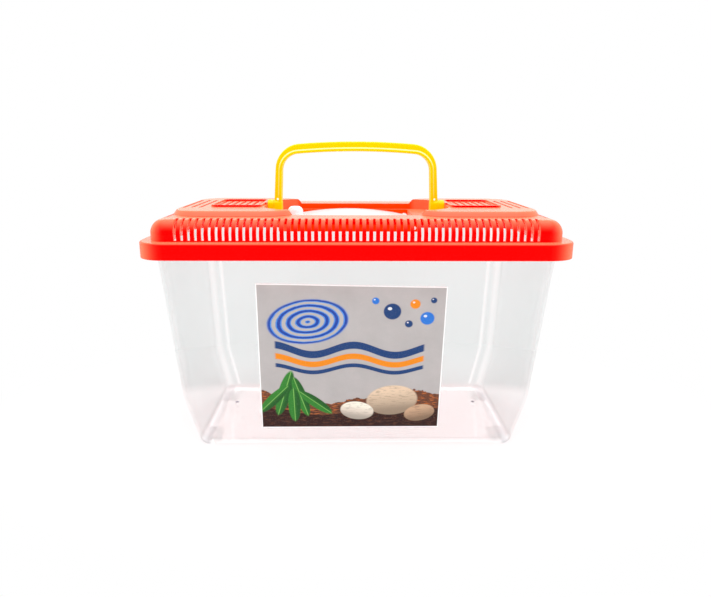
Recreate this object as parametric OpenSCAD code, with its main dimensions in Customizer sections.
// Plastic pet keeper: a clear drafted tank under a ventilated snap-over lid that
// carries a see-through feeding hatch and a folding bail handle.
// Millimetres. +Z is up, the front faces -Y, and the feet stand on Z = 0.

/* [Tank] */
// Length of the tank at its underside
tank_l = 241; // [200:1:300]
// Depth of the tank at its underside
tank_d = 110.8; // [95:1:160]
// Height of the tank's mouth above the table
tank_h = 159; // [120:1:200]
// Slope of the two end walls from the vertical
end_draft = 3.9; // [2:0.1:7]
// How much further in the ends stand at the underside
toe_in = 7.8; // [0:0.1:10]
// Height above the table from which the ends turn in
toe_h = 40; // [25:1:60]
// Slope of the front and back walls from the vertical
side_draft = 6.7; // [3:0.1:9]
// Thickness of the clear walls
tank_wall = 2; // [1.2:0.1:3]
// Thickness of the clear floor
floor_t = 2.2; // [1.5:0.1:4]
// Plan radius of the corners at the mouth
mouth_corner_r = 9; // [7:0.5:12]
// Plan radius of the corners at the underside
base_corner_r = 9; // [8:0.5:14]
// Rounding where the walls meet the floor
base_edge_r = 2; // [1.6:0.2:3]
// Width of the flange along the front and back
flange_w = 8.3; // [5:0.1:12]
// Width of the flange at the two ends
flange_end_w = 7; // [5:0.1:12]
// Thickness of the flange
flange_t = 2; // [1.5:0.1:3]
// Height of the corner feet
foot_h = 1.2; // [0.8:0.1:3]
// Width of a corner foot, along the tank's length
foot_w = 13.6; // [8:0.1:20]
// Depth of a corner foot, front to back
foot_d = 28; // [12:1:40]

/* [Lid] */
// Thickness of the red moulding
lid_wall = 2; // [1.6:0.1:2.4]
// Gap between the lid's skirt and the tank's flange
skirt_gap = 0.7; // [0.4:0.1:1.5]
// How far the skirt hangs below the tank's mouth
skirt_drop = 9.3; // [6:0.1:14]
// Width of the flat ledge outside the dome
ledge_w = 7.6; // [5:0.1:9]
// Height of the dome above the ledge
dome_rise = 14.6; // [13:0.1:20]
// Rounding of the dome's shoulder
shoulder_r = 10; // [8:0.5:11]
// Rounding of the skirt's top edge
skirt_edge_r = 1.6; // [1:0.1:2]

/* [Grille] */
// Width of a ventilation slot
slot_w = 2; // [1.2:0.1:2.6]
// Distance from one slot to the next
slot_pitch = 4.6; // [4:0.1:7]
// Distance of the first slot from the dome's end
slot_margin = 19; // [17:0.5:30]
// How far a slot climbs inward over the shoulder
slot_reach = 10.8; // [7:0.1:12]
// Height of a slot's foot above the ledge
slot_foot = 0.7; // [0.5:0.1:3]

/* [Raised panels] */
// Distance of a panel's inner side from the middle of the lid
panel_inner_x = 47; // [44:0.5:50]
// Distance of a panel's outer side from the dome's end
panel_end_margin = 11.5; // [10:0.1:15]
// Distance of a panel's front and back from the dome's face
panel_side_margin = 23; // [19:0.5:27]
// Height of a panel above the dome
panel_rise = 3.7; // [2:0.1:4]
// Plan radius of a panel's corners
panel_corner_r = 20; // [10:1:20]
// Length of the ribbed vent frame on a panel
frame_l = 38.4; // [30:0.1:42]
// Depth of the vent frame
frame_d = 51.6; // [40:0.1:60]
// Width of the frame's rib
frame_rib_w = 1.8; // [1.2:0.1:2.5]
// Height of the frame's rib
frame_rib_h = 1.5; // [0.8:0.1:2.5]
// Width of a slot in the panel
panel_slot_w = 2.2; // [1.4:0.1:2.8]
// Distance between the frame's slots
panel_slot_pitch = 5.1; // [4:0.1:7]
// Length of the three long slots beside the frame
long_slot_l = 60; // [40:1:80]
// Distance from one long slot to the next
long_slot_pitch = 5.9; // [4.5:0.1:6]
// Distance of the first long slot from the frame
long_slot_gap = 6.4; // [4:0.1:7]

/* [Basin and hatch] */
// Depth of the basin that holds the hatch and the handle's feet
basin_drop = 4.6; // [4:0.1:5.5]
// Half of the basin's depth, front to back
basin_half_d = 45; // [42:0.5:48]
// Plan radius of the basin's corners
basin_corner_r = 25; // [15:1:32]
// Left end of the hatch opening
hatch_left_x = -54.5; // [-55:0.5:-50]
// Right end of the hatch opening
hatch_right_x = 44.5; // [40:0.5:46]
// Distance of the hatch opening from the basin's front and back
hatch_margin = 4.3; // [4:0.1:6]
// Depth of the hatch opening's frame below the basin's floor
hatch_frame_drop = 7.6; // [7:0.1:9]
// Gap between the hatch and its opening
hatch_gap = 0.4; // [0.3:0.05:0.6]
// Height of the hatch's crown above the basin's floor
crown_rise = 1.0; // [0.6:0.1:2]
// Thickness of the clear hatch
hatch_t = 1.8; // [1.4:0.1:2.2]
// Radius of the hatch's hinge pins
hinge_pin_r = 1.3; // [1:0.05:1.5]
// Height of the hinge axis above the bottom of the frame
hinge_rise = 2.6; // [2.4:0.1:3]
// Radius of the finger knob
knob_r = 6.1; // [5:0.1:6.5]
// Height of the knob above the hatch's crown
knob_rise = 5.6; // [4:0.1:7]

/* [Handle] */
// Clear width between the handle's feet
handle_gap = 116; // [113:0.5:118]
// Thickness of a leg, seen from the front
leg_t = 5.8; // [5:0.1:6.2]
// Depth of the handle, front to back
handle_d = 7.8; // [6:0.1:8.2]
// Height of the grip's top above the pivot
handle_rise = 49.7; // [45:0.1:70]
// Thickness of the grip
grip_t = 7.4; // [6:0.1:9]
// Height of the pivot above the basin's floor
pivot_rise = 6.3; // [6.2:0.1:7]
// Radius of the handle's pivot pins
pivot_r = 1.5; // [1:0.05:1.6]
// Length of a pivot pin
pivot_l = 3.4; // [2.6:0.1:3.6]
// Side play of the handle in the basin
foot_play = 0.5; // [0.3:0.1:0.8]
// Thickness of the flange along the handle's inner side
inner_flange_t = 2.6; // [1.5:0.1:3.2]
// How far that flange stands out to the front and back
inner_flange_w = 0.8; // [0.4:0.1:1.2]

/* [Label] */
// Width of the front label
label_w = 134; // [90:1:150]
// Height of the front label along the wall
label_h = 116.4; // [60:0.1:118]
// Thickness of the label
label_t = 0.3; // [0.2:0.05:0.5]
// Height of the label's lower edge above the table
label_z = 15; // [10:0.1:25]
// Offset of the label from the middle
label_x = -4.7; // [-15:0.1:15]
// Tilt of the label, as stuck on by hand, in degrees
label_tilt = 0.5; // [0:0.1:1]

/* [Hidden] */

red = [0.95, 0.06, 0.03];
yellow = [1, 0.83, 0.02];
clear = [0.9, 0.95, 0.95, 0.4];
paper = [0.86, 0.83, 0.82];

// Roundness of true curves, and of the blended tank walls
$fn = 64;
hull_fn = 32;
// Overshoot of every cutter, and thickness of the slices that a hull spans
eps = 0.5;
slice_t = 0.02;
// Play between the front wall and the label's plate
label_gap = 0.02;

// Half length and half depth of the tank at a height z
function end_x(z) = tank_l / 2 + toe_in * min(z / toe_h, 1) + z * tan(end_draft);
function side_y(z) = tank_d / 2 + z * tan(side_draft);

// Sizes of the tank's flange and feet, from its walls
flange_l = 2 * (end_x(tank_h) + flange_end_w);
flange_d = 2 * (side_y(tank_h) + flange_w);
flange_r = mouth_corner_r + flange_w;
foot_inset = base_edge_r / 2;
foot_r = 4;

// Sizes of the lid, from the tank that it fits
skirt_grow = skirt_gap + lid_wall;
lid_l = flange_l + 2 * skirt_grow;
lid_d = flange_d + 2 * skirt_grow;
lid_r = flange_r + skirt_grow;
skirt_z = tank_h - skirt_drop;
ledge_z = tank_h + lid_wall;
dome_l = lid_l - 2 * ledge_w;
dome_d = lid_d - 2 * ledge_w;
dome_r = lid_r - ledge_w;
crest_z = ledge_z + dome_rise;
dome_inner_r = dome_r - lid_wall;
shoulder_inner_r = shoulder_r - lid_wall;

// Slots of the grille: as many as fit between the margins
front_slots = floor((dome_l - 2 * slot_margin) / slot_pitch) + 1;
side_slots = floor((dome_d - 2 * slot_margin) / slot_pitch) + 1;
slot_z = ledge_z + slot_foot;

// Raised panels: their flanks start a little below the dome's crest, inside its shoulder
panel_z = crest_z + panel_rise;
panel_sink = 1;
panel_flank = panel_rise + panel_sink;
panel_outer_x = dome_l / 2 - panel_end_margin;
panel_foot_l = panel_outer_x - panel_inner_x + 2 * panel_flank;
panel_foot_d = dome_d - 2 * panel_side_margin + 2 * panel_flank;
panel_foot_r = panel_corner_r + panel_flank;
panel_x = (panel_outer_x + panel_inner_x) / 2;
flank_steps = 5;
// Horizontal inset that keeps a sloping wall as thick as a flat one
slope_inset = lid_wall * (sqrt(2) - 1);

// Handle feet and bearings: a hub and a smaller ear on one pivot, flat in front and behind
pin_clearance = 0.05;
hub_r = pivot_rise - 0.4;
hub_w = 6.2;
hub_d = 9.8;
ear_r = hub_r - 0.5;
ear_w = 4.9;
ear_d = 9;
foot_in_x = handle_gap / 2;
ear_out_x = foot_in_x + hub_w + ear_w;
basin_z = crest_z - basin_drop;
pivot_z = basin_z + pivot_rise;
basin_half_l = ear_out_x + foot_play;
frame_x0 = basin_half_l + 1.3;
lug_l = frame_x0 + frame_rib_w - basin_half_l;
lug_half_d = 5;
frame_top_z = panel_z + frame_rib_h;

// Vent frame on each panel
frame_mid_x = frame_x0 + frame_l / 2;
frame_r = 6;
frame_slots = floor((frame_l - 2 * frame_rib_w - panel_slot_w - 1.4) / panel_slot_pitch) + 1;
frame_slot_l = frame_d - 9.6;
long_slots = 3;
long_slot_x = frame_x0 + frame_l + long_slot_gap;
bore_l = lug_l + 1.5;

// Hatch: an arched plate hinged at its right end
knuckle_r = 2.2;
hinge_z = basin_z - hatch_frame_drop + hinge_rise;
hinge_x = hatch_right_x - hatch_gap - knuckle_r;
hatch_end_x = hatch_left_x + hatch_gap;
hatch_mid_x = (hinge_x + hatch_end_x) / 2;
hatch_half_l = (hinge_x - hatch_end_x) / 2;
crown_z = basin_z + crown_rise;
hatch_half_d = basin_half_d - hatch_margin;
frame_bottom_z = basin_z - hatch_frame_drop;
plate_half_d = hatch_half_d - hatch_gap;
// The arch passes through the hinge axis and the crown
arch_sag = crown_z - hatch_t / 2 - hinge_z;
arch_mid_r = (hatch_half_l * hatch_half_l + arch_sag * arch_sag) / (2 * arch_sag);
arch_r = arch_mid_r + hatch_t / 2;
arch_z = crown_z - arch_r;
shelf_l = 1.8;
shelf_play = 0.2;
shelf_z = arch_z + sqrt(pow(arch_r - hatch_t, 2) - pow(hatch_half_l, 2)) - shelf_play;
knob_x = hatch_end_x + knob_r + 0.1;
knob_edge_r = 4.2;
knob_top_z = crown_z + knob_rise;
knob_foot_z = arch_z + sqrt(pow(arch_r, 2) - pow(hatch_mid_x - knob_x + knob_r, 2)) - 1;
hinge_pin_l = lid_wall - 0.2;

// Handle outline: leg lines, bends and a crowned grip
leg_out_x = foot_in_x + leg_t;
leg_base_z = pivot_z + hub_r;
grip_z = pivot_z + handle_rise;
outer_lean = 3.6;
inner_lean = 2.6;
bend_outer_r = 20;
bend_inner_r = 13;
crown_r = 540;
bend_steps = 20;
crown_steps = 12;

// A box with rounded upright corners
module plate(l, d, z0, z1, r) {
    translate([0, 0, z0])
        linear_extrude(z1 - z0)
            union() {
                square([l, d - 2 * r], center = true);
                square([l - 2 * r, d], center = true);
                for (x = [-1, 1], y = [-1, 1])
                    translate([x * (l / 2 - r), y * (d / 2 - r)])
                        circle(r);
            }
}

// Half of an upright section with a rounded top edge, from the axis outward
module round_section(half, h, e) {
    square([half, h - e]);
    square([half - e, h]);
    translate([half - e, h - e])
        intersection() {
            circle(e);
            square(e);
        }
}

// Half of an upright section whose side slopes up in a soft S to its top
module slope_section(half, h, e) {
    polygon(concat([[0, 0], [half, 0]],
        [for (i = [0 : flank_steps]) [half - e * i / flank_steps,
            h - e * (1 + cos(180 * i / flank_steps)) / 2]],
        [[0, h]]));
}

module half_section(half, h, e, sloped) {
    if (sloped)
        slope_section(half, h, e);
    else
        round_section(half, h, e);
}

// A moulded block: corner radius r in plan, and its top edge rounded or sloped by e
module moulded(l, d, z0, z1, r, e, sloped = false) {
    h = z1 - z0;
    translate([0, 0, z0]) {
        for (s = [0, 180])
            rotate([0, 0, s]) {
                translate([0, d / 2 - r, 0])
                    rotate([90, 0, 0])
                        linear_extrude(d - 2 * r)
                            half_section(l / 2, h, e, sloped);
                translate([r - l / 2, 0, 0])
                    rotate([90, 0, 90])
                        linear_extrude(l - 2 * r)
                            half_section(d / 2, h, e, sloped);
            }
        for (x = [-1, 1], y = [-1, 1])
            translate([x * (l / 2 - r), y * (d / 2 - r), 0])
                rotate_extrude()
                    half_section(r, h, e, sloped);
    }
}

// A round-ended slot in plan, along Y, from y0 to y1
module slot_plan(x, y0, y1, w) {
    translate([x - w / 2, y0 + w / 2])
        square([w, y1 - y0 - w]);
    for (y = [y0 + w / 2, y1 - w / 2])
        translate([x, y])
            circle(w / 2);
}

// Slices of the tank's four upright corners at height z
module tank_posts(z, inset) {
    r = mouth_corner_r - inset;
    for (x = [-1, 1], y = [-1, 1])
        translate([x * (end_x(z) - inset - r), y * (side_y(z) - inset - r), z])
            cylinder(h = slice_t, r = r, $fn = hull_fn);
}

// Drafted hollow or solid of the tank, inset by a wall, with its base edge rounded
module tank_body(inset, z0, z1, edge) {
    r = base_corner_r - inset;
    z = z0 + edge;
    hull() {
        for (x = [-1, 1], y = [-1, 1])
            translate([x * (end_x(z) - inset - r), y * (side_y(z) - inset - r), z])
                rotate_extrude($fn = hull_fn)
                    translate([r - edge, 0])
                        circle(edge, $fn = hull_fn);
        tank_posts(toe_h, inset);
        tank_posts(z1 - slice_t, inset);
    }
}

// Four corner feet, cut to the rounded outline of the tank's underside
module tank_feet() {
    top = foot_h + floor_t / 2;
    intersection() {
        plate(tank_l - 2 * foot_inset, tank_d - 2 * foot_inset, 0, top, base_corner_r - foot_inset);
        for (x = [-1, 1], y = [-1, 1])
            translate([x * (tank_l / 2 - foot_inset), y * (tank_d / 2 - foot_inset), 0])
                plate(2 * foot_w, 2 * foot_d, -eps, top + eps, foot_r);
    }
}

module tank() {
    color(clear) {
        difference() {
            union() {
                tank_body(0, foot_h, tank_h, base_edge_r);
                plate(flange_l, flange_d, tank_h - flange_t, tank_h, flange_r);
            }
            tank_body(tank_wall, foot_h + floor_t, tank_h + eps, base_edge_r - tank_wall / 2);
        }
        tank_feet();
    }
}

// Everything inside the lid's outer skin
module lid_outside() {
    moulded(lid_l, lid_d, skirt_z, ledge_z, lid_r, skirt_edge_r);
    moulded(dome_l, dome_d, ledge_z - lid_wall, crest_z, dome_r, shoulder_r);
    for (s = [-1, 1])
        translate([s * panel_x, 0, 0])
            moulded(panel_foot_l, panel_foot_d, crest_z - lid_wall, panel_z,
                panel_foot_r, panel_flank, true);
}

// The hollow under the skin
module lid_inside() {
    plate(lid_l - 2 * lid_wall, lid_d - 2 * lid_wall, skirt_z - eps, tank_h, lid_r - lid_wall);
    moulded(dome_l - 2 * lid_wall, dome_d - 2 * lid_wall, tank_h - eps, crest_z - lid_wall,
        dome_inner_r, shoulder_inner_r);
    for (s = [-1, 1])
        translate([s * panel_x, 0, 0])
            moulded(panel_foot_l - 2 * slope_inset, panel_foot_d - 2 * slope_inset,
                crest_z - 2 * lid_wall, panel_z - lid_wall, panel_foot_r - slope_inset,
                panel_flank, true);
}

// Plan of the hatch opening, grown all round
module hatch_box(grow, z0, z1) {
    translate([hatch_left_x - grow, -hatch_half_d - grow, z0])
        cube([hatch_right_x - hatch_left_x + 2 * grow, 2 * (hatch_half_d + grow), z1 - z0]);
}

// Plan of the whole grille: slots round all four sides, open outward
module grille_plan() {
    for (i = [0 : front_slots - 1], s = [-1, 1])
        rotate(90 - 90 * s)
            slot_plan((i - (front_slots - 1) / 2) * slot_pitch, dome_d / 2 - slot_reach,
                dome_d / 2 + eps, slot_w);
    for (i = [0 : side_slots - 1], s = [-1, 1])
        rotate(90 * s)
            slot_plan((i - (side_slots - 1) / 2) * slot_pitch, dome_l / 2 - slot_reach,
                dome_l / 2 + eps, slot_w);
}

// Plan of the slots in one raised panel
module panel_slots() {
    for (i = [0 : frame_slots - 1])
        slot_plan(frame_mid_x + (i - (frame_slots - 1) / 2) * panel_slot_pitch,
            -frame_slot_l / 2, frame_slot_l / 2, panel_slot_w);
    for (i = [0 : long_slots - 1])
        slot_plan(long_slot_x + i * long_slot_pitch, -long_slot_l / 2, long_slot_l / 2,
            panel_slot_w);
}

module vent_frame() {
    translate([frame_mid_x, 0, 0])
        difference() {
            plate(frame_l, frame_d, panel_z - lid_wall / 2, frame_top_z, frame_r);
            plate(frame_l - 2 * frame_rib_w, frame_d - 2 * frame_rib_w,
                panel_z - lid_wall, frame_top_z + eps, frame_r - frame_rib_w);
        }
    translate([basin_half_l - eps, -lug_half_d, basin_z])
        cube([lug_l + eps, 2 * lug_half_d, frame_top_z - basin_z]);
}

module lid() {
    color(red)
        difference() {
            union() {
                difference() {
                    lid_outside();
                    difference() {
                        lid_inside();
                        plate(2 * (basin_half_l + lid_wall), 2 * (basin_half_d + lid_wall),
                            basin_z - lid_wall, panel_z, basin_corner_r + lid_wall);
                        hatch_box(lid_wall, frame_bottom_z, basin_z);
                    }
                }
                for (s = [0, 180])
                    rotate(s)
                        vent_frame();
            }
            plate(2 * basin_half_l, 2 * basin_half_d, basin_z, frame_top_z + eps, basin_corner_r);
            difference() {
                hatch_box(0, frame_bottom_z - eps, basin_z + eps);
                translate([hatch_left_x - eps, -hatch_half_d - eps, frame_bottom_z])
                    cube([shelf_l + eps, 2 * (hatch_half_d + eps), shelf_z - frame_bottom_z]);
            }
            translate([0, 0, slot_z])
                linear_extrude(dome_rise)
                    grille_plan();
            for (s = [0, 180])
                rotate(s) {
                    translate([0, 0, crest_z - 2 * lid_wall])
                        linear_extrude(frame_top_z - crest_z + 3 * lid_wall)
                            panel_slots();
                    translate([basin_half_l - eps, 0, pivot_z])
                        rotate([0, 90, 0])
                            cylinder(h = bore_l, r = pivot_r + pin_clearance);
                }
            translate([hinge_x, hatch_half_d + lid_wall + eps, hinge_z])
                rotate([90, 0, 0])
                    cylinder(h = 2 * (hatch_half_d + lid_wall + eps), r = hinge_pin_r + pin_clearance);
        }
}

module hatch_door() {
    color(clear) {
        translate([hatch_mid_x, plate_half_d, arch_z])
            rotate([90, 0, 0])
                linear_extrude(2 * plate_half_d)
                    intersection() {
                        difference() {
                            circle(arch_r);
                            circle(arch_r - hatch_t);
                        }
                        translate([-hatch_half_l, 0])
                            square([2 * hatch_half_l, arch_r + eps]);
                    }
        translate([hinge_x, plate_half_d, hinge_z])
            rotate([90, 0, 0])
                cylinder(h = 2 * plate_half_d, r = knuckle_r);
        translate([hinge_x, plate_half_d + hatch_gap + hinge_pin_l, hinge_z])
            rotate([90, 0, 0])
                cylinder(h = 2 * (plate_half_d + hatch_gap + hinge_pin_l), r = hinge_pin_r);
        translate([knob_x, 0, knob_foot_z])
            rotate_extrude()
                round_section(knob_r, knob_top_z - knob_foot_z, knob_edge_r);
    }
}

// Points of a bend or crown on a circle about c, from angle a0 to a1
function arc_points(c, r, a0, a1, n) =
    [for (i = [0 : n]) let (a = a0 + (a1 - a0) * i / n) [c[0] + r * cos(a), c[1] + r * sin(a)]];

// Centre of the bend that touches a leaning leg line at x0 and the crown circle
function bend_centre(x0, lean, rb, rc, top) =
    let (q = [x0 - rb * cos(lean), leg_base_z - rb * sin(lean) - (top - rc)],
        d = [-sin(lean), cos(lean)],
        qd = q[0] * d[0] + q[1] * d[1],
        t = -qd + sqrt(qd * qd - q[0] * q[0] - q[1] * q[1] + pow(rc - rb, 2)))
    [q[0] + t * d[0], q[1] + t * d[1] + top - rc];

// Right half of an arch line, from the foot of the leg to the middle of the grip
function half_arch(x0, lean, rb, rc, top) =
    let (b = bend_centre(x0, lean, rb, rc, top), a1 = atan2(b[1] - top + rc, b[0]))
    concat([[x0 + tan(lean) * hub_r, leg_base_z - hub_r]],
        arc_points(b, rb, lean, a1, bend_steps),
        [for (p = arc_points([0, top - rc], rc, a1, 90, crown_steps)) if (p[0] < b[0]) p]);

module arch_area(x0, lean, rb, rc, top) {
    right = half_arch(x0, lean, rb, rc, top);
    n = len(right);
    polygon(concat(right, [for (i = [1 : n - 1]) [-right[n - 1 - i][0], right[n - 1 - i][1]]]));
}

// A band of the handle: the strip inside the outer line, down to a depth t, w wide
module handle_band(x_out, lean_out, r_out, rc_out, top_out, w) {
    translate([0, w / 2, 0])
        rotate([90, 0, 0])
            linear_extrude(w)
                difference() {
                    arch_area(x_out, lean_out, r_out, rc_out, top_out);
                    arch_area(foot_in_x, inner_lean, bend_inner_r, crown_r - grip_t, grip_z - grip_t);
                }
}

// A disc along Z with two flats, d apart in Y
module flat_disc(h, r, d) {
    linear_extrude(h)
        intersection() {
            circle(r);
            square([2 * r + eps, d], center = true);
        }
}

module carry_handle() {
    color(yellow) {
        handle_band(leg_out_x, outer_lean, bend_outer_r, crown_r, grip_z, handle_d);
        handle_band(foot_in_x + inner_flange_t, inner_lean, bend_inner_r + inner_flange_t,
            crown_r - grip_t + inner_flange_t, grip_z - grip_t + inner_flange_t,
            handle_d + 2 * inner_flange_w);
        for (s = [0, 180])
            rotate(s)
                translate([foot_in_x, 0, pivot_z])
                    rotate([0, 90, 0]) {
                        flat_disc(hub_w, hub_r, hub_d);
                        flat_disc(hub_w + ear_w, ear_r, ear_d);
                        cylinder(h = hub_w + ear_w + pivot_l, r = pivot_r);
                    }
    }
}

module front_label() {
    color(paper)
        translate([label_x, -tank_d / 2 - label_z * tan(side_draft), label_z])
            rotate([side_draft, 0, 0])
                rotate([0, label_tilt, 0])
                    translate([-label_w / 2, -label_t - label_gap, 0])
                        cube([label_w, label_t, label_h]);
}

tank();
lid();
hatch_door();
carry_handle();
front_label();
